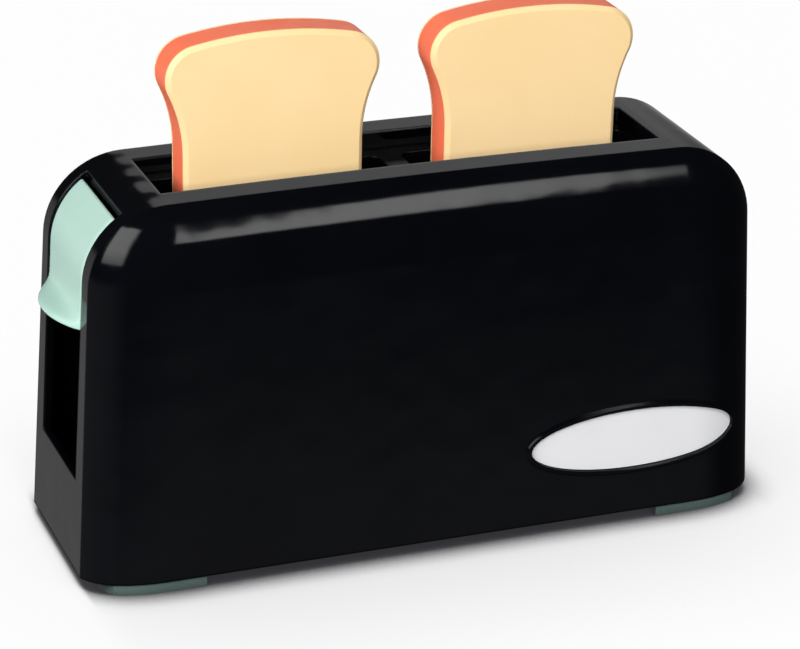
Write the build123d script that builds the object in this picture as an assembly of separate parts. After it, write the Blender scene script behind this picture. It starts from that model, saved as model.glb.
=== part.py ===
from build123d import *
import os
from math import atan, cos, radians, sin, tan

# A long-slot toy pop-up toaster with two slices of play bread.
# Millimetres. +X runs to the right along the body, +Y to the back, +Z up.
# The pieces are drawn about the middle of the body and moved at the end, so that the
# origin is on the floor under the centre of the whole toy, finger lip included.

# ---------------------------------------------------------------- driving dimensions

# Housing: one drafted moulding, open at the bottom. Its end faces and top are a flat
# band between two creases, and the front and back roll out from the creases.
foot_height = 3.0
base_length = 200.0
end_draft = 2.93
shoulder_height = 106.6
crown_rise = 1.0
corner_radius = 22.5
crease_half = 24.5
face_draft = 1.2
roll_width = 21.5
roll_depth = 9.8
roll_turn_width = 8.2
roll_turn_depth = 7.45
roll_lap = 0.5
bottom_trim = 4.8
wall = 2.4
crease_share = 0.6

# Bread slot in the top, with a rim that hangs down to the guide's ledge.
slot_centre = -1.0
slot_half = 13.7
slot_margin = 3.5
rim_depth = 4.1
rim_wall = 2.0

# Lever opening, up the left end and round the corner.
opening_half = 17.0
sill_height = 29.0
opening_reach = 15.5

# Oval badge seat on the front.
badge_x = 59.0
badge_z = 25.6
badge_half_length = 31.5
badge_half_height = 9.0
bead_width = 1.3
bead_proud = 0.6
badge_recess = 0.9
badge_thickness = 0.6

# Screw towers inside the housing, and the screws that hold the base plate.
tower_x = 52.0
tower_outset = 1.5
tower_half = 3.3
pilot_radius = 1.3
pilot_depth = 15.0
screw_head_radius = 2.8
screw_head_height = 1.8
hole_clearance = 0.25
thread_gap = 0.02
screw_tip_gap = 1.0
stud_sides = 12

# Small screws: guide to housing, lever to tray.
small_screw_radius = 0.9
small_head_radius = 2.0
small_head_height = 1.4
small_boss_half = 2.5
guide_screw_places = ((-61.0, 18.3), (59.0, -18.3))
small_screw_bite = 3.0

# Base plate and feet.
plate_thickness = 2.4
plate_gap = 0.25
plate_lip_height = 4.0
plate_lip_wall = 1.6
plate_lip_inset = 1.5
foot_inset = 5.0
foot_length = 28.0
foot_side_inset = 0.3
foot_corner = 9.0
foot_shy = 0.3
foot_pin_half = 2.0
foot_pin_gap = 0.1
foot_pin_inset = 13.0
foot_pin_y = 20.0

# Bread guide: a ledge plate with two chutes.
guide_thickness = 2.0
guide_end = 3.5
guide_half_depth = 21.5
chute_end_play = 3.5
chute_side_play = 2.0
chute_corner = 3.0
chute_divider = 6.5
chute_wall = 1.5
chute_height = 20.5

# Guide rods and what runs on them.
rod_outset = 3.5
rod_radius = 1.5
rod_running_gap = 0.05
rod_seat_gap = 0.03
rod_top_boss_half = 3.0
rod_socket_radius = 4.2
sleeve_radius = 4.0
sleeve_below = 11.2
sleeve_above = 5.8
travel = 42.0
stop_gap = 0.3

# Bread tray.
tray_thickness = 2.0
tray_drop = 31.3
tray_rim_height = 4.0
tray_rim_wall = 1.5
pocket_play = 1.3
pocket_side_play = 1.8
arm_half = 6.0
upright_inset = 11.5
upright_half = 9.0
upright_height = 21.8
upright_thickness = 2.0
gusset_reach = 6.0
gusset_height = 12.0
lever_screw_rises = (7.0, 16.0)
cup_radius = 6.5
cup_wall = 1.3
cup_height = 3.3

# Return spring and its post.
spring_radius = 4.4
wire_radius = 0.45
wire_sides = 5
spring_turns = 7
spring_end_pitch = 0.95
spring_steps = 10
spring_post_radius = 3.4
spring_post_gap = 6.5

# Lever: a cap that closes the top of its opening, with a finger lip.
lever_side_gap = 0.4
lever_shy = 0.3
lever_depth = 7.0
lever_wall = 2.0
lever_rise = 0.8
lever_top_inset = 13.6
lever_edge_width = 1.6
lever_edge_depth = 0.8
lip_reach = 6.4
lip_radius = 26.0
lip_thickness = 1.0
lip_rise = 8.0
lip_flare = ((0.62, 0.11), (0.3, 0.33), (0.1, 0.62), (0.0, 1.0))
lip_wall = 2.6

# Play bread: a crust band between two faces.
slice_height = 74.5
slice_foot_half = 25.3
slice_foot_round = 3.0
slice_side_top = 42.0
slice_half = 30.0
slice_widest = 63.1
slice_shoulder = 9.3
slice_spread = 1.2
slice_shift = -0.55
slice_gap = 0.3
crust_half = 4.6
crust_wall = 2.2
crust_shoulder_wall = 3.3
web_half = 0.8
face_thickness = 1.6
face_soft = 1.2
peg_side = 4.0
peg_gap = 0.1
peg_half_spacing = 14.0

# ---------------------------------------------------------------- sizes that follow

far = 2 * base_length

# Heights, from the roof down.
crown_height = shoulder_height + crown_rise
ledge_height = shoulder_height - rim_depth
guide_underside = ledge_height - guide_thickness
chute_bottom = guide_underside - chute_height
tray_top = ledge_height - tray_drop
tray_bottom = tray_top - tray_thickness
bread_bottom = tray_top + slice_gap
sleeve_bottom = tray_bottom - sleeve_below
sleeve_top = tray_top + sleeve_above
cup_roof = tray_top + cup_height
spring_post_top = cup_roof - travel - spring_post_gap
floor_plate_top = foot_height + plate_thickness
lever_bottom = tray_top + lever_rise
upright_top = tray_top + upright_height
lever_screw_heights = [lever_bottom + rise for rise in lever_screw_rises]

# Along the body, from the bread outwards and from the ends inwards.
chute_length = 2 * (slice_half + chute_end_play)
chute_spacing = chute_length + chute_divider
slot_length = chute_spacing + chute_length + slot_margin
rod_spacing = slot_length + 2 * rod_outset
guide_half_length = rod_spacing / 2 + guide_end
slice_spacing = chute_spacing + slice_spread
slice_centre = slot_centre + slice_shift
rod_x = (slot_centre - rod_spacing / 2, slot_centre + rod_spacing / 2)
chute_x = (slot_centre - chute_spacing / 2, slot_centre + chute_spacing / 2)
slice_x = (slice_centre - slice_spacing / 2, slice_centre + slice_spacing / 2)
opening_end = opening_reach - base_length / 2
upright_x = upright_inset - base_length / 2
lever_top_reach = lever_top_inset - base_length / 2
foot_outer = base_length / 2 - foot_inset
foot_pin_x = foot_outer - foot_pin_inset

# Across the body, from the middle.
slice_half_depth = crust_half + face_thickness
chute_half = slice_half_depth + chute_side_play
tray_half_depth = slice_half_depth + pocket_side_play + tray_rim_wall
tower_y = crease_half + tower_outset
foot_half_depth = crease_half + roll_depth - foot_side_inset
lever_half = opening_half - lever_side_gap


def half_length(height):
    """Half of the housing's length at a height."""
    return base_length / 2 - (height - foot_height) * tan(radians(end_draft))


def block(low, high):
    """A box between two corners."""
    size = [b - a for a, b in zip(low, high)]
    middle = [(a + b) / 2 for a, b in zip(low, high)]
    return Pos(*middle) * Box(*size)


def rod(radius, low, high, x=0.0, y=0.0):
    """An upright cylinder between two heights."""
    return Pos(x, y, (low + high) / 2) * Cylinder(radius, high - low)


def stud(radius, low, high, x=0.0, y=0.0):
    """An upright many-sided stud or screw hole between two heights."""
    return Pos(x, y, low) * extrude(RegularPolygon(radius, stud_sides), high - low)


def lying_stud(radius, low, high, height):
    """The same along X between two places, in the mid plane."""
    section = RegularPolygon(radius, stud_sides)
    return Pos(low, 0, height) * Rot(0, 90, 0) * extrude(section, high - low)


# ---------------------------------------------------------------- housing form


def outline(inset, bottom):
    """Front view of the housing, moved in by inset: drafted ends, round corners, crowned top."""
    slant = inset / cos(radians(end_draft))
    top = shoulder_height - inset
    low = half_length(bottom) - slant
    high = half_length(top) - slant
    sides = Polyline((-high, top), (-low, bottom), (low, bottom), (high, top))
    crown = ThreePointArc((high, top), (0, crown_height - inset), (-high, top))
    face = make_face(sides + crown)
    corners = face.vertices().group_by(Axis.Y)[-1]
    return fillet(corners, corner_radius - inset)


def crease_plane(side, inset):
    """The leaning plane of a crease line: side is -1 at the front and 1 at the back."""
    lean = radians(face_draft)
    crease = crease_half - crease_share * inset
    return Plane((0, side * crease, 0), x_dir=(1, 0, 0), z_dir=(0, -cos(lean), -side * sin(lean)))


def rolled_cap(inset, bottom, smooth):
    """What stands in front of the crease plane: a flat core inside a rolled or twice-bent border."""
    depth = roll_depth - (1 - crease_share) * inset
    width = roll_width - inset
    path = Wire(outline(inset, bottom).edges().sort_by(Axis.Y)[1:])
    along = path % 0
    inward = Vector(along.Y, -along.X, 0)
    if inward.X * (path @ 0).X > 0:
        inward = -inward
    section_plane = Plane(path @ 0, x_dir=inward, z_dir=along)
    front = depth if section_plane.y_dir.Z > 0 else -depth
    turn = (roll_turn_width * width / roll_width, roll_turn_depth * front / roll_depth)
    broad = TangentArc((width, front), turn, tangent=(-1, 0))
    tight = TangentArc(turn, (0, 0), tangent=broad % 1)
    edge = broad + tight if smooth else Polyline((width, front), turn, (0, 0))
    rest = Polyline((width, front), (width + roll_lap, front), (width + roll_lap, 0), (0, 0))
    section = section_plane * make_face(edge + rest)
    core = extrude(outline(roll_width, bottom), depth)
    return core + sweep(section, path)


def housing_form(inset, bottom, smooth=True):
    """The whole housing as a solid, moved in by inset and cut off level at the bottom."""
    below = bottom - bottom_trim
    rim = outline(inset, below)
    middle = loft([crease_plane(-1, inset) * rim, crease_plane(1, inset) * rim], ruled=True)
    front = crease_plane(-1, inset).location * rolled_cap(inset, below, smooth)
    form = front + middle + mirror(front, Plane.XZ)
    return form - block((-far, -far, bottom - far), (far, far, bottom))


# ---------------------------------------------------------------- housing pieces


def oval_prism(grow):
    """The badge's oval, grown all round, as a prism through the front wall."""
    oval = Ellipse(badge_half_length + grow, badge_half_height + grow)
    return Pos(badge_x, -crease_half, badge_z) * Rot(90, 0, 0) * extrude(oval, far)


def screw_towers(outer):
    """Four square posts from the base plate to the roof, each joined to its side wall."""
    towers = Part()
    for x in (-tower_x, tower_x):
        for side in (-1, 1):
            near, deep = sorted((side * (tower_y - tower_half), side * far))
            low = (x - tower_half, near, floor_plate_top)
            towers += block(low, (x + tower_half, deep, crown_height))
    return towers & outer


def guide_bosses(outer):
    """Two blocks under the roof that the bread guide is screwed to."""
    bosses = Part()
    for x, y in guide_screw_places:
        low = (x - small_boss_half, y - small_boss_half, ledge_height)
        bosses += block(low, (x + small_boss_half, y + small_boss_half, crown_height))
    return bosses & outer


def pilot_holes():
    """The holes that the screws cut their threads in."""
    holes = Part()
    for x in (-tower_x, tower_x):
        for y in (-tower_y, tower_y):
            holes += stud(pilot_radius, floor_plate_top, floor_plate_top + pilot_depth, x, y)
    for x, y in guide_screw_places:
        holes += stud(small_screw_radius, ledge_height, ledge_height + small_screw_bite, x, y)
    return holes


def slot_cut(grow, low):
    """The bread slot's outline as a block from a height up through the roof."""
    reach = slot_length / 2 + grow
    half = slot_half + grow
    return block((slot_centre - reach, -half, low), (slot_centre + reach, half, far))


def body_shell(outer):
    shell = outer - housing_form(wall, foot_height - wall, smooth=False)
    rim = slot_cut(rim_wall, ledge_height) & outer
    shell += rim
    shell += screw_towers(outer)
    shell += guide_bosses(outer)
    shell -= slot_cut(0, ledge_height - wall)
    shell -= block((-far, -opening_half, sill_height), (opening_end, opening_half, far))
    shell -= pilot_holes()
    bead = (oval_prism(bead_width) - oval_prism(0)) & (Pos(0, -bead_proud, 0) * outer)
    shell += bead - Pos(0, wall / 2, 0) * outer
    shell -= oval_prism(0) - Pos(0, badge_recess, 0) * outer
    return shell


def badge_plate(outer):
    """Thin oval plate that lies on the floor of its seat and follows the front's curve."""
    seat = Pos(0, badge_recess, 0) * outer
    skin = Pos(0, badge_recess - badge_thickness, 0) * outer
    return (oval_prism(-hole_clearance) & skin) - seat


def base_plate():
    """Bottom cover with a locating lip, two rod sockets and the spring's post."""
    lip_top = floor_plate_top + plate_lip_height
    lip_inset = wall + plate_gap + plate_lip_inset
    plate = housing_form(wall + plate_gap, foot_height, smooth=False)
    plate &= block((-far, -far, 0), (far, far, floor_plate_top))
    lip = housing_form(lip_inset, foot_height, smooth=False)
    lip -= housing_form(lip_inset + plate_lip_wall, foot_height, smooth=False)
    plate += lip & block((-far, -far, foot_height), (far, far, lip_top))
    socket_top = sleeve_bottom - travel - stop_gap
    for x in rod_x:
        plate += stud(rod_socket_radius, foot_height, socket_top, x)
        plate -= rod(rod_radius + rod_seat_gap, floor_plate_top, socket_top, x)
    plate += stud(spring_post_radius, foot_height, spring_post_top, slot_centre)
    relief = tower_half + plate_gap
    for x in (-tower_x, tower_x):
        plate -= block((x - relief, -far, floor_plate_top), (x + relief, far, lip_top))
        for y in (-tower_y, tower_y):
            plate -= stud(pilot_radius + hole_clearance, foot_height, floor_plate_top, x, y)
    for x in (-foot_pin_x, foot_pin_x):
        for y in (-foot_pin_y, foot_pin_y):
            plate -= foot_pin(x, y, foot_pin_half + foot_pin_gap)
    return plate


def foot_pin(x, y, half):
    """A square pin through the base plate."""
    return block((x - half, y - half, foot_height), (x + half, y + half, floor_plate_top))


def foot(side):
    """A pad across one end of the base, with two pins that plug into the base plate."""
    inner = foot_outer - foot_length
    plan = Pos(side * (foot_outer + inner) / 2, 0) * Rectangle(foot_length, 2 * foot_half_depth)
    outward = Axis((0, 0, 0), (side, 0, 0))
    plan = fillet(plan.vertices().sort_by(outward)[-2:], foot_corner)
    pad = extrude(plan, foot_height) & housing_form(foot_shy, 0)
    for y in (-foot_pin_y, foot_pin_y):
        pad += foot_pin(side * foot_pin_x, y, foot_pin_half)
    return pad


def screw(radius, head_radius, head_height, length):
    """A plain screw that points up, with the underside of its head at zero."""
    return stud(head_radius, -head_height, 0) + stud(radius, 0, length)


def base_screws():
    length = plate_thickness + pilot_depth - screw_tip_gap
    one = screw(pilot_radius - thread_gap, screw_head_radius, screw_head_height, length)
    places = [(x, y, foot_height) for x in (-tower_x, tower_x) for y in (-tower_y, tower_y)]
    return Compound([Pos(*place) * one for place in places])


def bread_guide():
    """Ledge plate under the slot, with a chute for each slice and a boss for each rod's top."""
    low = (slot_centre - guide_half_length, -guide_half_depth, guide_underside)
    guide = block(low, (slot_centre + guide_half_length, guide_half_depth, ledge_height))
    reach = chute_length / 2 + chute_wall
    half = chute_half + chute_wall
    for x in chute_x:
        guide += block((x - reach, -half, chute_bottom), (x + reach, half, guide_underside))
    for x in rod_x:
        low = (x - rod_top_boss_half, -rod_top_boss_half, sleeve_top + stop_gap)
        guide += block(low, (x + rod_top_boss_half, rod_top_boss_half, guide_underside))
        guide -= rod(rod_radius + rod_seat_gap, sleeve_top, guide_underside, x)
    window = RectangleRounded(chute_length, 2 * chute_half, chute_corner)
    for x in chute_x:
        guide -= Pos(x, 0, chute_bottom) * extrude(window, ledge_height - chute_bottom)
    for x, y in guide_screw_places:
        guide -= stud(small_screw_radius + hole_clearance, guide_underside, ledge_height, x, y)
    return guide & housing_form(wall + plate_gap, foot_height, smooth=False)


def guide_screws():
    length = guide_thickness + small_screw_bite - hole_clearance
    one = screw(small_screw_radius - thread_gap, small_head_radius, small_head_height, length)
    return Compound([Pos(x, y, guide_underside) * one for x, y in guide_screw_places])


def guide_rod(x):
    """Steel rod from its socket in the base plate to its boss under the guide."""
    return rod(rod_radius, floor_plate_top, guide_underside, x)


def return_spring():
    """Compression spring with a closed coil at each end."""
    low = floor_plate_top + stop_gap + wire_radius
    high = cup_roof - stop_gap - wire_radius
    pitch = (high - low - 2 * spring_end_pitch) / spring_turns
    height = low
    points = []
    for turn in range(spring_turns + 2):
        rise = spring_end_pitch if turn in (0, spring_turns + 1) else pitch
        for step in range(spring_steps):
            angle = radians(360 * step / spring_steps)
            x = slot_centre + spring_radius * cos(angle)
            points.append((x, spring_radius * sin(angle), height + rise * step / spring_steps))
        height += rise
    path = Polyline(*points)
    section = Plane(path @ 0, z_dir=path % 0) * RegularPolygon(wire_radius, wire_sides)
    return sweep(section, path, transition=Transition.RIGHT)


# ---------------------------------------------------------------- moving carriage


def bread_tray():
    """Tray that carries both slices, runs on the two rods and holds the lever."""
    tray = block((rod_x[0], -tray_half_depth, tray_bottom), (rod_x[1], tray_half_depth, tray_top))
    pocket_reach = slice_foot_half + pocket_play
    pocket_half = tray_half_depth - tray_rim_wall
    rim_top = tray_top + tray_rim_height
    for x in slice_x:
        middle = x - slice_centre + slot_centre
        rim_reach = pocket_reach + tray_rim_wall
        low = (middle - rim_reach, -tray_half_depth, tray_top)
        rim = block(low, (middle + rim_reach, tray_half_depth, rim_top))
        low = (middle - pocket_reach, -pocket_half, tray_top)
        tray += rim - block(low, (middle + pocket_reach, pocket_half, rim_top))
    tray += stud(cup_radius, tray_bottom, cup_roof + cup_wall, slot_centre)
    tray -= stud(cup_radius - cup_wall, tray_bottom, cup_roof, slot_centre)
    tray += block((upright_x, -arm_half, tray_bottom), (rod_x[0], arm_half, tray_top))
    upright_inside = upright_x + upright_thickness
    tray += block((upright_x, -upright_half, tray_bottom), (upright_inside, upright_half, upright_top))
    for y in (-arm_half, arm_half):
        tray += arm_gusset(y)
    for x in rod_x:
        tray += stud(sleeve_radius, sleeve_bottom, sleeve_top, x)
        tray -= rod(rod_radius + rod_running_gap, sleeve_bottom, sleeve_top, x)
    for height in lever_screw_heights:
        tray -= lying_stud(small_screw_radius + hole_clearance, upright_x, upright_inside, height)
    return tray


def arm_gusset(y):
    """A triangular rib between the tray's arm and its upright."""
    inside = upright_x + upright_thickness
    toe = (inside + gusset_reach, tray_top)
    peak = (inside, tray_top + gusset_height)
    corner = Polyline((inside, tray_top), toe, peak, close=True)
    thickness = tray_rim_wall if y < 0 else -tray_rim_wall
    return Pos(0, y, 0) * extrude(Plane.XZ * make_face(corner), -thickness)


def lever_band(outer_inset, inner_inset, half, bottom, reach):
    """A curved strip that follows the housing's end and corner."""
    band = outline(outer_inset, bottom) - outline(inner_inset, bottom)
    strip = extrude(Plane.XZ * band, half, both=True)
    return strip & block((-far, -far, bottom), (reach, far, far))


def lip_form():
    """The flared finger lip as a body turned about an upright axis."""
    root = lip_radius - lip_reach
    profile = [(0, 0), (lip_radius, 0), (lip_radius, lip_thickness)]
    for share_out, share_up in lip_flare:
        profile.append((root + lip_reach * share_out, lip_thickness + lip_rise * share_up))
    profile.append((0, lip_thickness + lip_rise))
    return lip_place() * revolve(Plane.XZ * make_face(Polyline(profile, close=True)), Axis.Z)


def lip_hollow():
    """The hollow under the lip, a cone that leaves an even wall."""
    low = lip_radius - lip_wall
    high = lip_radius - lip_reach - lip_wall / 2
    return lip_place() * Pos(0, 0, lip_rise / 2) * Cone(low, high, lip_rise)


def lip_place():
    return Pos(-half_length(lever_bottom) + lever_shy - lip_reach + lip_radius, 0, lever_bottom)


def lever():
    """Curved cap with soft long edges, hollow behind, with a finger lip and two screw bosses."""
    inner = lever_shy + lever_wall
    side = lever_half - lever_wall
    skin_x = -half_length(lever_bottom)
    cap = lever_band(lever_shy, lever_shy + lever_depth, lever_half, lever_bottom, lever_top_reach)
    for flank_number in (0, -1):
        flank = cap.faces().sort_by(Axis.Y)[flank_number]
        edges = [edge for edge in flank.edges() if on_outside(edge)]
        cap = chamfer(edges, lever_edge_depth, lever_edge_width, reference=flank)
    lip_space = block((-far, -lever_half, lever_bottom), (skin_x + 2 * lever_shy, lever_half, far))
    cap += lip_form() & lip_space
    cap -= lever_band(inner, inner + lever_depth, side, 0, lever_top_reach - lever_wall)
    cap -= lip_hollow() & block((-far, -side, 0), (skin_x + inner, side, far))
    cap -= block((upright_x - stop_gap, -far, 0), (far, far, upright_top + wall))
    for height in lever_screw_heights:
        cap += lever_boss(height)
    return cap


def on_outside(edge):
    """Whether an edge of the lever's flank lies along its outer face."""
    middle = edge @ 0.5
    within = outline(lever_shy + lever_wall, 0).is_inside((middle.X, middle.Z, 0))
    return middle.X < lever_top_reach and not within


def lever_boss(height):
    """Screw boss behind the lever, up to the tray's upright."""
    skin = extrude(Plane.XZ * outline(lever_shy, 0), lever_half, both=True)
    low = (-far, -small_boss_half, height - small_boss_half)
    boss = block(low, (upright_x, small_boss_half, height + small_boss_half)) & skin
    hole_end = upright_x - small_screw_bite - screw_tip_gap
    return boss - lying_stud(small_screw_radius, hole_end, upright_x, height)


def lever_screws():
    length = upright_thickness + small_screw_bite
    upright = screw(small_screw_radius - thread_gap, small_head_radius, small_head_height, length)
    one = Rot(0, -90, 0) * upright
    inside = upright_x + upright_thickness
    return Compound([Pos(inside, 0, height) * one for height in lever_screw_heights])


# ---------------------------------------------------------------- play bread


def slice_outline():
    """Front view of a slice: straight sides, a hollow neck, round shoulders and a low crown."""
    flare = slice_half - slice_foot_half
    rise = slice_widest - slice_side_top
    turn = 2 * atan(flare / rise)
    neck = rise / sin(turn) - slice_shoulder
    neck_end = (slice_foot_half + neck * (1 - cos(turn)), slice_side_top + neck * sin(turn))
    across = slice_half - slice_shoulder
    above = slice_height - slice_widest
    crown = (across**2 + above**2 - slice_shoulder**2) / (2 * (above - slice_shoulder))
    out = crown / (crown - slice_shoulder)
    crown_end = (across * out, slice_height - crown + (crown - above) * out)
    side = Polyline((0, 0), (slice_foot_half, 0), (slice_foot_half, slice_side_top))
    edge = TangentArc((slice_foot_half, slice_side_top), neck_end, tangent=(0, 1))
    shoulder = ThreePointArc(neck_end, (slice_half, slice_widest), crown_end)
    top = TangentArc((0, slice_height), crown_end, tangent=(1, 0))
    half = side + edge + shoulder + top
    face = make_face(half + mirror(half, Plane.YZ))
    return fillet(face.vertices().group_by(Axis.Y)[0].sort_by(Axis.X)[::2], slice_foot_round)


def peg_places():
    """Where the faces' pegs stand, as seen from the front."""
    return [Pos(x, slice_height / 2) for x in (-peg_half_spacing, peg_half_spacing)]


def slice_hollow():
    """Straight-sided outline of the hollows on both sides of the crust's web."""
    corners = [
        (slice_foot_half - crust_wall, crust_wall),
        (slice_foot_half - crust_wall, slice_side_top),
        (slice_half - crust_shoulder_wall, slice_widest),
        (slice_half - slice_shoulder, slice_height - crust_shoulder_wall)]
    return make_face(Polyline(corners + [(-x, height) for x, height in reversed(corners)], close=True))


def slice_crust():
    """Crust band with a thin web across its middle and square sockets for the faces' pegs."""
    full = slice_outline()
    hole = peg_side + 2 * peg_gap
    socket = Rectangle(hole + crust_wall, hole + crust_wall) - Rectangle(hole, hole)
    band = full - slice_hollow()
    for place in peg_places():
        band += place * socket
    return Plane.XZ * (extrude(band, crust_half, both=True) + extrude(full, web_half, both=True))


def slice_face(side):
    """One face of a slice, soft-edged, with four pegs: side is -1 at the front and 1 at the back."""
    plate = extrude(slice_outline(), face_thickness)
    rim = plate.faces().sort_by(Axis.Z)[-1].outer_wire()
    plate = chamfer(rim.edges(), face_soft)
    peg = extrude(Rectangle(peg_side, peg_side), -(crust_half - web_half - peg_gap))
    for place in peg_places():
        plate += place * peg
    front = Pos(0, -crust_half, 0) * Rot(90, 0, 0) * plate
    return front if side < 0 else mirror(front, Plane.XZ)


# ---------------------------------------------------------------- pieces to files


def pieces():
    outer = housing_form(0, foot_height)
    named = {
        "body_shell": body_shell(outer),
        "badge_plate": badge_plate(outer),
        "base_plate": base_plate(),
        "base_screws": base_screws(),
        "foot_left": foot(-1),
        "foot_right": foot(1),
        "bread_guide": bread_guide(),
        "guide_screws": guide_screws(),
        "guide_rod_left": guide_rod(rod_x[0]),
        "guide_rod_right": guide_rod(rod_x[1]),
        "return_spring": return_spring(),
        "bread_tray": bread_tray(),
        "lever": lever(),
        "lever_screws": lever_screws(),
    }
    crust = slice_crust()
    faces = {"front": slice_face(-1), "back": slice_face(1)}
    for name, x in zip(("left", "right"), slice_x):
        place = Pos(x, 0, bread_bottom)
        named[f"slice_{name}_crust"] = place * crust
        for side, face in faces.items():
            named[f"slice_{name}_face_{side}"] = place * face
    return named


os.makedirs("parts", exist_ok=True)
lip_tip = half_length(lever_bottom) - lever_shy + lip_reach
to_middle = Pos((lip_tip - base_length / 2) / 2, 0, 0)
for name, shape in pieces().items():
    export_step(to_middle * shape, f"parts/{name}.step")
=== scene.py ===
import math

import bpy
from mathutils import Matrix, Vector


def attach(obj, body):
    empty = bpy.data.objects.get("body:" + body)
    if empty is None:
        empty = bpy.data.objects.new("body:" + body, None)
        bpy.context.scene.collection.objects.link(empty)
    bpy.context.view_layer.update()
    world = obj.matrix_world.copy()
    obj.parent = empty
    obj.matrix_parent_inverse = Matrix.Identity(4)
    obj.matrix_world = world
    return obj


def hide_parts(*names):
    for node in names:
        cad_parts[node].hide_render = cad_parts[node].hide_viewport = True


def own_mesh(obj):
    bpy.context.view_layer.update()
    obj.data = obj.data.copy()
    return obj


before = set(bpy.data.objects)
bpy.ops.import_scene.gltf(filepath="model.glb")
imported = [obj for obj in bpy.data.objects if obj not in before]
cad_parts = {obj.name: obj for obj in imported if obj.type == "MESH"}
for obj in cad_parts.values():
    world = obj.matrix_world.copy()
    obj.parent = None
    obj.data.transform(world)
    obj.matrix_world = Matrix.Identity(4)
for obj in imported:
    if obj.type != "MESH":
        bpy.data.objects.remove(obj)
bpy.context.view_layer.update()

MM = 0.001

# How far the housing's middle lies right of the frame's, in millimetres: the lever stands out at the left.
HOUSING_MIDDLE = 1.284

# ---------------------------------------------------------------- the picture

PICTURE_WIDTH = 800
SENSOR = 36.0
FOCAL_PIXELS = 3112.1
YAW = -21.21
PITCH = 23.13
ROLL = 1.29
DISTANCE = 872.39 * MM
SIDE_STEP = -0.44 * MM
UP_STEP = 5.15 * MM
AIM = Vector((HOUSING_MIDDLE * MM, 0, 60 * MM))
CLIP_START = 0.01


def make_camera():
    """The photograph's viewpoint: left of the front and a little above."""
    yaw, pitch, roll = (math.radians(angle) for angle in (YAW, PITCH, ROLL))
    back = Vector((math.sin(yaw) * math.cos(pitch), -math.cos(yaw) * math.cos(pitch), math.sin(pitch)))
    level_right = (-back).cross(Vector((0, 0, 1))).normalized()
    level_up = level_right.cross(-back)
    right = level_right * math.cos(roll) + level_up * math.sin(roll)
    up = level_up * math.cos(roll) - level_right * math.sin(roll)
    data = bpy.data.cameras.new("camera")
    data.sensor_width = SENSOR
    data.lens = FOCAL_PIXELS / PICTURE_WIDTH * SENSOR
    data.clip_start = CLIP_START
    camera = bpy.data.objects.new("camera", data)
    place = AIM + back * DISTANCE - right * SIDE_STEP - up * UP_STEP
    camera.matrix_world = Matrix.Translation(place) @ Matrix((right, up, back)).transposed().to_4x4()
    bpy.context.scene.collection.objects.link(camera)
    bpy.context.scene.camera = camera


# ---------------------------------------------------------------- node helpers


class Tree:
    """A material's or the world's nodes, added and joined by short calls."""

    def __init__(self, owner):
        owner.use_nodes = True
        self.nodes = owner.node_tree.nodes
        self.links = owner.node_tree.links
        self.nodes.clear()

    def add(self, kind, **settings):
        node = self.nodes.new(kind)
        for name, value in settings.items():
            setattr(node, name, value)
        return node

    def set(self, socket, value):
        """Joins a socket to another, or gives it a plain value."""
        if isinstance(value, bpy.types.NodeSocket):
            self.links.new(value, socket)
        else:
            socket.default_value = value

    def math(self, operation, *values):
        node = self.add("ShaderNodeMath", operation=operation)
        for socket, value in zip(node.inputs, values):
            self.set(socket, value)
        return node.outputs[0]

    def product(self, *values):
        total = values[0]
        for value in values[1:]:
            total = self.math("MULTIPLY", total, value)
        return total

    def blend(self, factor, a, b):
        """A colour between two; a Mix node's two colour inputs are its numbers 6 and 7."""
        node = self.add("ShaderNodeMix", data_type="RGBA")
        for index, value in ((0, factor), (6, a), (7, b)):
            self.set(node.inputs[index], value)
        return node.outputs[2]

    def ramp(self, value, low, high, out_low=0.0, out_high=1.0):
        """A smooth step from one level to another."""
        node = self.add("ShaderNodeMapRange", interpolation_type="SMOOTHSTEP")
        for socket, number in zip(node.inputs, (value, low, high, out_low, out_high)):
            self.set(socket, number)
        return node.outputs[0]

    def place(self):
        """Where a point is in the frame at rest, in metres."""
        return self.add("ShaderNodeTexCoord").outputs["Object"]

    def split(self, vector):
        node = self.add("ShaderNodeSeparateXYZ")
        self.set(node.inputs[0], vector)
        return node.outputs

    def noise(self, scale, detail, roughness=0.5, vector=None):
        """A soft cloud of values round 0.5, with so many swells to a metre."""
        node = self.add("ShaderNodeTexNoise")
        self.set(node.inputs["Vector"], vector or self.place())
        self.set(node.inputs["Scale"], scale)
        self.set(node.inputs["Detail"], detail)
        self.set(node.inputs["Roughness"], roughness)
        return node.outputs["Fac"]

    def bump(self, height, distance, strength=1.0, normal=None):
        node = self.add("ShaderNodeBump")
        self.set(node.inputs["Height"], height)
        self.set(node.inputs["Distance"], distance)
        self.set(node.inputs["Strength"], strength)
        if normal:
            self.set(node.inputs["Normal"], normal)
        return node.outputs["Normal"]

    def openness(self, distance):
        """1 in the open, less where something stands within a distance."""
        node = self.add("ShaderNodeAmbientOcclusion", samples=8)
        node.inputs["Distance"].default_value = distance
        return node.outputs["AO"]


def rgb(red, green, blue):
    """A colour given as it looks on screen, from 0 to 255, as light."""
    def light(level):
        share = level / 255
        return share / 12.92 if share <= 0.04045 else ((share + 0.055) / 1.055) ** 2.4
    return (light(red), light(green), light(blue), 1.0)


# ---------------------------------------------------------------- materials

FLOW_SWELLS = 24.0
WAVE_SWELLS = 110.0
HAZE_SWELLS = 140.0
GRAIN_SWELLS = 1600.0
STREAK_SWELLS = 1800.0
GRAIN_STRENGTH = 0.1

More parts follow.
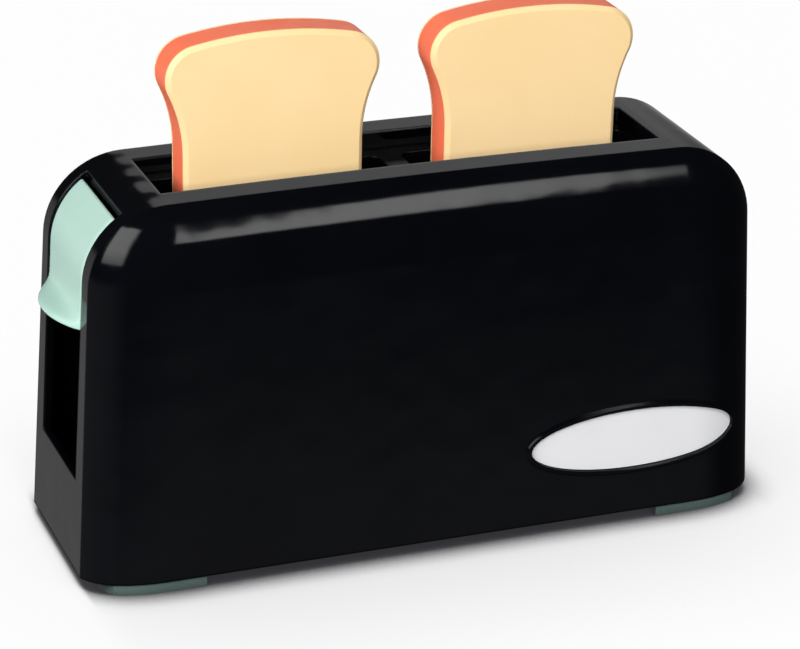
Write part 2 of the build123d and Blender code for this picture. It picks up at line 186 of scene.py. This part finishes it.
# Each turn is where a cloud's values pass from the low colour or gloss to the high one.
FLOW_TURN = (0.3, 0.7)
HAZE_TURN = (0.3, 0.75)
HAZE_SHARES = (0.8, 1.25)
STREAK_TURN = (0.3, 0.7)
STREAK_STRETCH = (1.0, 1.0, 0.05)
STREAK_HEIGHT = 0.01 * MM
STREAK_STRENGTH = 0.3
STEEL_DARK = rgb(168, 168, 172)
STEEL_PALE = rgb(204, 204, 206)
STEEL_ROUGHNESS = (0.25, 0.4)

# The housing's skin is wavier round the lever's opening: it comes in over these stretches of X and Z.
SINK_X = (-68 * MM, -74 * MM)
SINK_Z = (96 * MM, 101 * MM)
SINK_GAIN = 4.0

# Painted shade for plastics that ask for it: how near other things must stand, and the openness over which
# the colour comes back from its darker copy.
PAINTED_SHADE_REACH = 20 * MM
PAINTED_SHADE_TURN = (0.3, 1.0)


def add_shader(name):
    material = bpy.data.materials.new(name)
    tree = Tree(material)
    out = tree.add("ShaderNodeOutputMaterial")
    shader = tree.add("ShaderNodeBsdfPrincipled")
    tree.set(out.inputs["Surface"], shader.outputs["BSDF"])
    return material, tree, shader


def plastic_skin(tree, grain, wave, soft_edge, sinks):
    """The surface's normal: a rounded edge, long shallow waves and a fine grain."""
    edge = None
    if soft_edge:
        rounding = tree.add("ShaderNodeBevel", samples=6)
        rounding.inputs["Radius"].default_value = soft_edge
        edge = rounding.outputs[0]
    swell = tree.math("SUBTRACT", tree.noise(WAVE_SWELLS, detail=0.0), 0.5)
    if sinks:
        place = tree.split(tree.place())
        around = tree.product(tree.ramp(place["X"], *SINK_X), tree.ramp(place["Z"], *SINK_Z))
        swell = tree.math("MULTIPLY", swell, tree.math("MULTIPLY_ADD", around, SINK_GAIN, 1.0))
    skin = tree.bump(swell, wave, 1.0, edge)
    if grain:
        skin = tree.bump(tree.noise(GRAIN_SWELLS, detail=1.0), grain, GRAIN_STRENGTH, skin)
    return skin


def moulded_plastic(
        name, low, high, roughness,
        grain=0, wave=0.015 * MM, soft_edge=0, sinks=False, painted_shade=0, ior=1.46, gloss=0.5):
    """Moulded plastic: faint flow in its colour, a gently uneven skin and a soft haze in its gloss, and where
    asked, painted shade that darkens its colour where other things stand close by.
    """
    material, tree, shader = add_shader(name)
    shader.inputs["IOR"].default_value = ior
    shader.inputs["Specular IOR Level"].default_value = gloss
    flow = tree.noise(FLOW_SWELLS, detail=3.0, roughness=0.55)
    colour = tree.blend(tree.ramp(flow, *FLOW_TURN), low, high)
    # Painted shade: the colour turns to a darker copy of its low colour where other things stand close by.
    if painted_shade:
        dim = tuple(level * (1 - painted_shade) for level in low[:3]) + (1.0,)
        colour = tree.blend(tree.ramp(tree.openness(PAINTED_SHADE_REACH), *PAINTED_SHADE_TURN), dim, colour)
    tree.set(shader.inputs["Base Color"], colour)
    haze = tree.noise(HAZE_SWELLS, detail=4.0, roughness=0.6)
    spread = [roughness * share for share in HAZE_SHARES]
    tree.set(shader.inputs["Roughness"], tree.ramp(haze, *HAZE_TURN, *spread))
    tree.set(shader.inputs["Normal"], plastic_skin(tree, grain, wave, soft_edge, sinks))
    return material


def steel():
    """Drawn wire and rod: streaks along Z in its gloss."""
    material, tree, shader = add_shader("steel")
    shader.inputs["Metallic"].default_value = 1.0
    stretch = tree.add("ShaderNodeMapping")
    tree.set(stretch.inputs["Vector"], tree.place())
    stretch.inputs["Scale"].default_value = STREAK_STRETCH
    streaks = tree.noise(STREAK_SWELLS, detail=3.0, vector=stretch.outputs["Vector"])
    tree.set(shader.inputs["Base Color"], tree.blend(streaks, STEEL_DARK, STEEL_PALE))
    tree.set(shader.inputs["Roughness"], tree.ramp(streaks, *STREAK_TURN, *STEEL_ROUGHNESS))
    tree.set(shader.inputs["Normal"], tree.bump(streaks, STREAK_HEIGHT, STREAK_STRENGTH))
    return material


PLASTICS = {
    "shell_black": dict(
        low=(0.0011, 0.0013, 0.0022, 1), high=(0.0016, 0.0019, 0.003, 1), roughness=0.09,
        grain=0.003 * MM, wave=0.07 * MM, soft_edge=1.1 * MM, sinks=True),
    "inner_black": dict(
        low=(0.0016, 0.0018, 0.0025, 1), high=(0.0028, 0.003, 0.0038, 1), roughness=0.24,
        grain=0.006 * MM, wave=0.04 * MM, soft_edge=0.4 * MM),
    "mint": dict(low=rgb(182, 217, 204), high=rgb(187, 221, 208), roughness=0.17, ior=1.68),
    "badge_white": dict(low=rgb(222, 222, 224), high=rgb(227, 227, 229), roughness=0.16, grain=0.003 * MM),
    "crust": dict(low=rgb(252, 121, 86), high=rgb(255, 126, 92), roughness=0.34, gloss=0.3),
    "crumb": dict(
        low=rgb(242, 209, 152), high=rgb(245, 213, 160), roughness=0.37, soft_edge=0.45 * MM, gloss=0.35),
    # Painted shade: the feet are of the lever's mint, given here a darker copy of it for the shade under the
    # housing, and painted shade where other things stand close by.
    "shaded_foot_mint": dict(low=rgb(124, 148, 143), high=rgb(130, 154, 149), roughness=0.4, painted_shade=0.95),
}


def make_materials():
    finishes = {name: moulded_plastic(name, **settings) for name, settings in PLASTICS.items()}
    finishes["steel"] = steel()
    return finishes


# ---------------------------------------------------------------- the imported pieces

NODE_FINISH = {
    "body_shell": "shell_black",
    "base_plate": "inner_black",
    "bread_guide": "inner_black",
    "bread_tray": "inner_black",
    "badge_plate": "badge_white",
    "lever": "mint",
    "foot_left": "shaded_foot_mint",
    "foot_right": "shaded_foot_mint",
}

# Each moulded edge that is rounded: its width in millimetres and the least angle that counts as an edge.
FOOT_EDGE = (0.5, 40.0)
CRUST_EDGE = (0.35, 40.0)
FACE_EDGE = (0.45, 25.0)
SOFT_EDGES = {
    "foot_left": FOOT_EDGE,
    "foot_right": FOOT_EDGE,
    "slice_left_crust": CRUST_EDGE,
    "slice_right_crust": CRUST_EDGE,
    "slice_left_face_front": FACE_EDGE,
    "slice_left_face_back": FACE_EDGE,
    "slice_right_face_front": FACE_EDGE,
    "slice_right_face_back": FACE_EDGE,
}
SAME_POINT = 0.002 * MM


def finish_of(name):
    if name in NODE_FINISH:
        return NODE_FINISH[name]
    if name.endswith("_crust"):
        return "crust"
    if "_face_" in name:
        return "crumb"
    return "steel"


def dress(materials):
    """Gives each node its finish; the pale slices leave no mirror image in the black gloss."""
    for name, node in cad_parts.items():
        node.visible_glossy = not name.startswith("slice_")
        node.data.materials.clear()
        node.data.materials.append(materials[finish_of(name)])


def soften(node, width, angle):
    """Rounds a node's sharp edges and shades it smoothly across them."""
    mesh = node.data
    mesh.attributes.remove(mesh.attributes["custom_normal"])
    for polygon in mesh.polygons:
        polygon.use_smooth = True
    weld = node.modifiers.new("weld", "WELD")
    weld.merge_threshold = SAME_POINT
    edge = node.modifiers.new("soft edges", "BEVEL")
    edge.width = width
    edge.segments = 3
    edge.limit_method = "ANGLE"
    edge.angle_limit = math.radians(angle)
    normals = node.modifiers.new("flat faces", "WEIGHTED_NORMAL")
    normals.weight = 100
    normals.keep_sharp = False


# ---------------------------------------------------------------- the lever

# All in millimetres, with X from the housing's middle. The housing's left end is a drafted line and the arc
# that turns it into the top.
DRAFT = math.radians(2.93)
ARC_CENTRE = (-73.31, 84.25)
ARC_RADIUS = 22.5

LEVER_BOTTOM = 72.0
LEVER_TOP_X = -86.4
LEVER_HALF = 16.6
LEVER_SHY = 0.3
LEVER_WALL = 2.0
LEVER_DEPTH = 6.9
LIP_RADIUS = 26.0
LIP_REACH = 6.4
LIP_THICK = 2.5
LIP_HOLLOW = 0.8

# Edge roundings, each as a width and a depth.
NEAR_EDGE = (2.3, 1.1)
FAR_EDGE = (1.0, 0.6)
FOOT_ROUND = (0.6, 0.6)
HEAD_ROUND = (0.9, 0.7)

# Where the sections lie: close together at the foot, over the lip and at the head, and evenly between.
FOOT_RISES = [0.0, 0.04, 0.12, 0.25, 0.42, 0.6, 0.8]
LIP_RISES = [1.0 + 0.14 * k for k in range(28)] + [5.0 + 0.5 * k for k in range(9)]
LONG_STEPS = 26
HEAD_LENGTH = 1.0
HEAD_SHARES = (0.25, 0.45, 0.62, 0.76, 0.88, 0.96, 1.0)

# Where each section's points lie: depths down a flank, and steps over an edge and the middle.
FLANK_DEPTHS = [LEVER_DEPTH, 5.4, 3.9, 2.7, 1.9]
EDGE_STEPS = 9
MIDDLE_STEPS = 28

# The two square pegs behind the cap that its screws go into.
PEG_HEIGHTS = (79.0, 88.0)
PEG_HALF = 2.5
PEG_REACH = (-94.0, -88.5)

SHARP = math.radians(50)


def round_off(distance, width, depth):
    """How far a surface drops towards an edge, as a quarter of an oval."""
    share = min(max(1 - distance / width, 0.0), 1.0)
    return depth * (1 - math.sqrt(1 - share * share))


def end_line_length():
    """How much of the lever lies on the end's straight line, below the arc."""
    return (ARC_CENTRE[1] + ARC_RADIUS * math.sin(DRAFT) - LEVER_BOTTOM) / math.cos(DRAFT)


def along_end(distance):
    """A point on the housing's end, so far up from the lever's foot, and its outward way."""
    straight = end_line_length()
    if distance < straight:
        below = straight - distance
        start_x = ARC_CENTRE[0] - ARC_RADIUS * math.cos(DRAFT)
        start_z = ARC_CENTRE[1] + ARC_RADIUS * math.sin(DRAFT)
        place = (start_x - below * math.sin(DRAFT), start_z - below * math.cos(DRAFT))
        return place, (-math.cos(DRAFT), math.sin(DRAFT))
    turn = math.pi - DRAFT - (distance - straight) / ARC_RADIUS
    out = (math.cos(turn), math.sin(turn))
    return (ARC_CENTRE[0] + ARC_RADIUS * out[0], ARC_CENTRE[1] + ARC_RADIUS * out[1]), out


def lever_length():
    last = math.acos((LEVER_TOP_X - ARC_CENTRE[0]) / ARC_RADIUS)
    return end_line_length() + (math.pi - DRAFT - last) * ARC_RADIUS


def lip_bulge(y, rise):
    """How far the finger lip stands out: a round disc at the foot that fades smoothly up the lever."""
    plan = math.sqrt(LIP_RADIUS ** 2 - y * y) - (LIP_RADIUS - LIP_REACH)
    return plan / (1 + (rise / LIP_THICK) ** 4)


def across_lever():
    """Where a section's outer points lie across the lever, close together on its rounded edges."""
    turns = [1 - math.cos(math.pi / 2 * k / EDGE_STEPS) for k in range(EDGE_STEPS)]
    low, high = -LEVER_HALF + NEAR_EDGE[0], LEVER_HALF - FAR_EDGE[0]
    near = [-LEVER_HALF + NEAR_EDGE[0] * turn for turn in turns]
    middle = [low + (high - low) * k / MIDDLE_STEPS for k in range(MIDDLE_STEPS + 1)]
    far = [LEVER_HALF - FAR_EDGE[0] * turn for turn in reversed(turns)]
    return near + middle + far


def lever_section(rise, length):
    """Pairs of outer and inner points across the lever, as y and depth below the housing's skin."""
    ends = round_off(rise, *FOOT_ROUND) + round_off(length - rise, *HEAD_ROUND)
    inside = LEVER_HALF - LEVER_WALL
    back = LEVER_SHY + LEVER_WALL
    pairs = [((-LEVER_HALF, depth), (-inside, max(depth, back))) for depth in FLANK_DEPTHS]
    for y in across_lever():
        drop = round_off(y + LEVER_HALF, *NEAR_EDGE) + round_off(LEVER_HALF - y, *FAR_EDGE)
        outer_depth = LEVER_SHY + drop + ends - lip_bulge(y, rise)
        inner_y = min(max(y, -inside), inside)
        pairs.append(((y, outer_depth), (inner_y, back - LIP_HOLLOW * lip_bulge(inner_y, rise))))
    pairs += [((LEVER_HALF, depth), (inside, max(depth, back))) for depth in reversed(FLANK_DEPTHS)]
    return pairs


def section_rises(length):
    rises = FOOT_RISES + LIP_RISES
    last = rises[-1]
    rises += [last + (length - HEAD_LENGTH - last) * k / LONG_STEPS for k in range(1, LONG_STEPS + 1)]
    return rises + [length - HEAD_LENGTH * (1 - share) for share in HEAD_SHARES]


def add_block(verts, faces, low, high):
    first = len(verts)
    for x in (low[0], high[0]):
        for y in (low[1], high[1]):
            for z in (low[2], high[2]):
                verts.append((x, y, z))
    for corners in ((0, 1, 3, 2), (4, 6, 7, 5), (0, 4, 5, 1), (2, 3, 7, 6), (0, 2, 6, 4), (1, 5, 7, 3)):
        faces.append([first + corner for corner in corners])


def close_ends(faces, bottom, top, count):
    """Joins the outer and inner points of the first and the last section."""
    for k in range(count // 2 - 1):
        faces.append((bottom + k, bottom + count - 1 - k, bottom + count - 2 - k, bottom + k + 1))
        faces.append((top + k, top + k + 1, top + count - 2 - k, top + count - 1 - k))


def lever_mesh():
    length = lever_length()
    verts, faces, rings = [], [], []
    for rise in section_rises(length):
        (x, z), (out_x, out_z) = along_end(rise)
        pairs = lever_section(rise, length)
        loop = [outer for outer, inner in pairs] + [inner for outer, inner in reversed(pairs)]
        rings.append(len(verts))
        for y, depth in loop:
            verts.append((x - out_x * depth + HOUSING_MIDDLE, y, z - out_z * depth))
    count = len(loop)
    for below, above in zip(rings, rings[1:]):
        for k in range(count):
            after = (k + 1) % count
            faces.append((below + k, below + after, above + after, above + k))
    close_ends(faces, rings[0], rings[-1], count)
    for height in PEG_HEIGHTS:
        left, right = (reach + HOUSING_MIDDLE for reach in PEG_REACH)
        add_block(verts, faces, (left, -PEG_HALF, height - PEG_HALF), (right, PEG_HALF, height + PEG_HALF))
    mesh = bpy.data.meshes.new("lever_cap")
    mesh.from_pydata([tuple(value * MM for value in vert) for vert in verts], [], faces)
    mesh.validate()
    return mesh


def make_lever(material):
    """The mint lever: a soft-edged curved cap, hollow behind, whose lip flares smoothly out of its foot."""
    mesh = lever_mesh()
    for polygon in mesh.polygons:
        polygon.use_smooth = True
    mesh.set_sharp_from_angle(angle=SHARP)
    mesh.materials.append(material)
    cap = bpy.data.objects.new("lever_cap", mesh)
    bpy.context.scene.collection.objects.link(cap)
    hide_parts("lever")
    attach(cap, "carriage")


# ---------------------------------------------------------------- the spring


def make_spring(material):
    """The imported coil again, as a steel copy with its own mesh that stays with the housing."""
    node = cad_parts["return_spring"]
    coil = bpy.data.objects.new("coil_spring", node.data.copy())
    bpy.context.scene.collection.objects.link(coil)
    bpy.context.view_layer.update()
    coil.matrix_world = node.matrix_world.copy()
    corners = [node.matrix_world @ Vector(corner) for corner in node.bound_box]
    low, high = (pick(corner.z for corner in corners) for pick in (min, max))
    coil.data.materials.clear()
    coil.data.materials.append(material)
    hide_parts("return_spring")
    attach(coil, "housing")
    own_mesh(coil)


# ---------------------------------------------------------------- the floor

FLOOR_HALF = 6.0
CLOSE_REACH = 12.5 * MM
WIDE_REACH = 80 * MM
FLOOR_DARK = (0.05, 0.05, 0.056, 1)
FLOOR_PALE = (0.98, 0.98, 0.985, 1)
FLOOR_STRENGTH = 0.99
MATT_DARK = (0.005, 0.005, 0.006, 1)
MATT_PALE = (0.02, 0.02, 0.02, 1)
BOUNCE_DARK = (0.01, 0.01, 0.01, 1)
BOUNCE_PALE = (0.25, 0.25, 0.25, 1)

# The shadow changes over a stretch of X at each end of the toy, from the first value to the second: how open
# the floor is where the shadow is full and where it ends, and how deep the wide veil is.
LEFT_STRETCH = (-97 * MM, -101 * MM)
SHADOW_FULL = (0.45, -0.2)
SHADOW_END = (0.95, 0.62)
RIGHT_STRETCH = (99 * MM, 103 * MM)
RIGHT_EXTRA = (0.0, 0.05)
VEIL_STRETCH = (-90 * MM, -104 * MM)
VEIL_DEPTH = (0.42, 0.12)


def close_shadow(tree, x):
    """The dark line under the toy: short and faint beyond its lit left end, longer beyond its right."""
    full = tree.ramp(x, *LEFT_STRETCH, *SHADOW_FULL)
    extra = tree.ramp(x, *RIGHT_STRETCH, *RIGHT_EXTRA)
    end = tree.math("ADD", tree.ramp(x, *LEFT_STRETCH, *SHADOW_END), extra)
    return tree.ramp(tree.openness(CLOSE_REACH), full, end)


def wide_shadow(tree, x):
    """A faint veil round the toy, which is almost gone beyond its lit left end."""
    depth = tree.ramp(x, *VEIL_STRETCH, *VEIL_DEPTH)
    return tree.math("MULTIPLY_ADD", tree.math("SUBTRACT", tree.openness(WIDE_REACH), 1.0), depth, 1.0)


def floor_material():
    """Pale to the camera with the toy's shadow on it, and dim to light that bounces."""
    material = bpy.data.materials.new("floor")
    tree = Tree(material)
    out = tree.add("ShaderNodeOutputMaterial")
    x = tree.split(tree.place())["X"]
    painted_shade = close_shadow(tree, x)
    glow = tree.add("ShaderNodeEmission")
    tree.set(glow.inputs["Color"], tree.blend(painted_shade, FLOOR_DARK, FLOOR_PALE))
    tree.set(glow.inputs["Strength"], tree.math("MULTIPLY", wide_shadow(tree, x), FLOOR_STRENGTH))
    matt = tree.add("ShaderNodeBsdfDiffuse")
    tree.set(matt.inputs["Color"], tree.blend(painted_shade, MATT_DARK, MATT_PALE))
    seen = tree.add("ShaderNodeAddShader")
    tree.set(seen.inputs[0], glow.outputs[0])
    tree.set(seen.inputs[1], matt.outputs[0])
    bounce = tree.add("ShaderNodeBsdfDiffuse")
    tree.set(bounce.inputs["Color"], tree.blend(painted_shade, BOUNCE_DARK, BOUNCE_PALE))
    pick = tree.add("ShaderNodeMixShader")
    tree.set(pick.inputs[0], tree.add("ShaderNodeLightPath").outputs["Is Camera Ray"])
    tree.set(pick.inputs[1], bounce.outputs[0])
    tree.set(pick.inputs[2], seen.outputs[0])
    tree.set(out.inputs["Surface"], pick.outputs[0])
    return material


def make_floor():
    mesh = bpy.data.meshes.new("floor")
    corners = [(x * FLOOR_HALF, y * FLOOR_HALF, 0.0) for x, y in ((-1, -1), (1, -1), (1, 1), (-1, 1))]
    mesh.from_pydata(corners, [], [(0, 1, 2, 3)])
    mesh.materials.append(floor_material())
    floor = bpy.data.objects.new("floor", mesh)
    bpy.context.scene.collection.objects.link(floor)
    floor.visible_glossy = False


# ---------------------------------------------------------------- light

# Each softbox's card lies on a flat pane, one unit from the toy. A pair is where an edge of the card comes in
# on that pane, or how bright the card is at the two ends of its turn. Left and right are as the picture shows
# them, and what ends in AT_LEFT or AT_RIGHT is added to the front card's bottom or top at that tip.
FRONT_CARD = (152, 40)
FRONT_SLANT = 0.36
FRONT_TILT = 0.7
FRONT_RIGHT_END = (-0.135, -0.06)
FRONT_LEFT_END = (0.135, 0.085)
FRONT_RIGHT_TIP = (-0.03, -0.12)
FRONT_LEFT_TIP = (0.05, 0.13)
FRONT_BOTTOM = -0.32
FRONT_BOTTOM_AT_RIGHT = 0.3
FRONT_TOP = 0.32
FRONT_TOP_AT_RIGHT = -0.1
FRONT_TOP_AT_LEFT = -0.4
FRONT_FOOT_FADE = 0.1
FRONT_HEAD_FADE = 0.07
FRONT_TURN = (-0.08, 0.03)
FRONT_LIGHT = (2.8, 3.6)

LEFT_CARD = (-115, 34)
LEFT_SLANT = -0.3
LEFT_NEAR_END = (-0.42, -0.25)
LEFT_FAR_END = (0.47, 0.43)
LEFT_FOOT = (-0.36, -0.30)
LEFT_HEAD = (0.56, 0.50)
LEFT_TURN = (-0.33, 0.0)
LEFT_LIGHT = (1.8, 3.3)

PANE_MIN = 0.05
PANE_EDGE = (0.05, 0.15)

# The room that the gloss sees, by direction: each pair is a stretch of X, Y or Z over which a part comes in.
WALL_TOP = (0.43, 0.40)
WALL_LEFT = (0.10, 0.15)
WALL_RIGHT = (0.62, 0.44)
TABLE_TOP = (0.06, -0.04)
TABLE_RIGHT = (-0.08, -0.26)
TABLE_SHARE = 0.55
BEHIND = (0.5, 0.8)
BEHIND_LIGHT = 0.4
ASIDE = (-0.3, -0.95)
ASIDE_TOP = (0.0, -0.2)
ASIDE_LIGHT = 0.12
BEFORE = (-0.5, -0.8)
BEFORE_TOP = (-0.32, -0.42)
BEFORE_LIGHT = 0.11
ROOM_GLOSS = 0.02

ROOM_LIGHT = (0.25, 0.25, 0.255, 1)
WHITE = (1.0, 1.0, 1.0, 1)

LAMP_DISTANCE = 1.3
LAMP_TARGET = Vector((0, 0, 80 * MM))


def way_to(azimuth, elevation):
    """A direction from the toy; azimuth 0 is behind it and 90 is to its right."""
    a, e = math.radians(azimuth), math.radians(elevation)
    return Vector((math.sin(a) * math.cos(e), math.cos(a) * math.cos(e), math.sin(e)))


def flat_place(tree, direction, azimuth, elevation):
    """Where a direction meets a pane that faces the toy: across and up, and 1 where the pane is ahead.

    Across grows to the right of one who looks out from the toy, which is the picture's left at the front.
    """
    centre = way_to(azimuth, elevation)
    right = centre.cross(Vector((0, 0, 1))).normalized()
    shares = []
    for axis in (centre, right, right.cross(centre)):
        node = tree.add("ShaderNodeVectorMath", operation="DOT_PRODUCT")
        tree.set(node.inputs[0], direction)
        node.inputs[1].default_value = axis
        shares.append(node.outputs["Value"])
    front, across, up = shares
    distance = tree.math("MAXIMUM", front, PANE_MIN)
    ahead = tree.ramp(front, *PANE_EDGE)
    return tree.math("DIVIDE", across, distance), tree.math("DIVIDE", up, distance), ahead


def front_card(tree, direction):
    """The front softbox as the gloss sees it: a slanted strip with pointed tips, brightest to the left."""
    across, up, ahead = flat_place(tree, direction, *FRONT_CARD)
    along = tree.math("MULTIPLY_ADD", up, FRONT_SLANT, across)
    high = tree.math("MULTIPLY_ADD", along, FRONT_TILT, up)
    right_tip = tree.ramp(along, *FRONT_RIGHT_TIP)
    left_tip = tree.ramp(along, *FRONT_LEFT_TIP)
    bottom = tree.math("MULTIPLY_ADD", right_tip, FRONT_BOTTOM_AT_RIGHT, FRONT_BOTTOM)
    top = tree.math("MULTIPLY_ADD", right_tip, FRONT_TOP_AT_RIGHT, FRONT_TOP)
    top = tree.math("MULTIPLY_ADD", left_tip, FRONT_TOP_AT_LEFT, top)
    ends = tree.product(tree.ramp(along, *FRONT_RIGHT_END), tree.ramp(along, *FRONT_LEFT_END))
    foot = tree.ramp(high, bottom, tree.math("ADD", bottom, FRONT_FOOT_FADE))
    head = tree.ramp(high, top, tree.math("SUBTRACT", top, FRONT_HEAD_FADE))
    return tree.product(ends, foot, head, ahead, tree.ramp(along, *FRONT_TURN, *FRONT_LIGHT))


def left_card(tree, direction):
    """The left softbox as the gloss sees it: crisp at its far end, fading to the front and downwards."""
    across, up, ahead = flat_place(tree, direction, *LEFT_CARD)
    slanted = tree.math("MULTIPLY_ADD", up, LEFT_SLANT, across)
    ends = tree.product(tree.ramp(slanted, *LEFT_NEAR_END), tree.ramp(across, *LEFT_FAR_END))
    sides = tree.product(tree.ramp(up, *LEFT_FOOT), tree.ramp(up, *LEFT_HEAD))
    return tree.product(ends, sides, ahead, tree.ramp(up, *LEFT_TURN, *LEFT_LIGHT))


def room_shine(tree, direction):
    """The room as the gloss sees it: a wall and table behind, and a dimmer table at the left and in front."""
    x, y, z = tree.split(direction)
    wall = tree.product(tree.ramp(z, *WALL_TOP), tree.ramp(x, *WALL_LEFT), tree.ramp(x, *WALL_RIGHT))
    table = tree.product(tree.ramp(z, *TABLE_TOP), tree.ramp(x, *TABLE_RIGHT), TABLE_SHARE)
    behind = tree.product(tree.ramp(y, *BEHIND), tree.math("MAXIMUM", wall, table), BEHIND_LIGHT)
    aside = tree.product(tree.ramp(x, *ASIDE), tree.ramp(z, *ASIDE_TOP), ASIDE_LIGHT)
    before = tree.product(tree.ramp(y, *BEFORE), tree.ramp(z, *BEFORE_TOP), BEFORE_LIGHT)
    return tree.math("ADD", tree.math("ADD", behind, aside), before)


def make_world():
    """White to the camera and an even light from the room; gloss sees a dark room with two softboxes."""
    world = bpy.data.worlds.new("world")
    bpy.context.scene.world = world
    tree = Tree(world)
    out = tree.add("ShaderNodeOutputWorld")
    direction = tree.add("ShaderNodeTexCoord").outputs["Generated"]
    cards = tree.math("ADD", front_card(tree, direction), left_card(tree, direction))
    shine = tree.math("ADD", tree.math("ADD", room_shine(tree, direction), cards), ROOM_GLOSS)
    path = tree.add("ShaderNodeLightPath")
    room = tree.blend(path.outputs["Is Glossy Ray"], ROOM_LIGHT, shine)
    light = tree.add("ShaderNodeBackground")
    tree.set(light.inputs["Color"], tree.blend(path.outputs["Is Camera Ray"], room, WHITE))
    tree.set(out.inputs["Surface"], light.outputs[0])


def softbox(name, azimuth, elevation, width, height, power):
    """An area light that faces the toy; the gloss sees its card in the world instead."""
    way = way_to(azimuth, elevation)
    data = bpy.data.lights.new(name, "AREA")
    data.shape = "RECTANGLE"
    data.size = width
    data.size_y = height
    data.energy = power
    lamp = bpy.data.objects.new(name, data)
    turn = way.to_track_quat("Z", "Y").to_matrix().to_4x4()
    lamp.matrix_world = Matrix.Translation(way * LAMP_DISTANCE + LAMP_TARGET) @ turn
    lamp.visible_camera = False
    lamp.visible_glossy = False
    bpy.context.scene.collection.objects.link(lamp)


def make_lights():
    softbox("front box", azimuth=150, elevation=42, width=0.62, height=0.6, power=7.5)
    softbox("left box", azimuth=-127, elevation=20, width=1.2, height=0.66, power=20.5)
    softbox("back fill", azimuth=14, elevation=8, width=1.2, height=0.5, power=8.0)


# ---------------------------------------------------------------- all of it

make_camera()
materials = make_materials()
dress(materials)
make_lever(materials["mint"])
make_spring(materials["steel"])
for name, (width, angle) in SOFT_EDGES.items():
    soften(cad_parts[name], width * MM, angle)
make_floor()
make_world()
make_lights()
bpy.context.scene.view_settings.view_transform = "Standard"
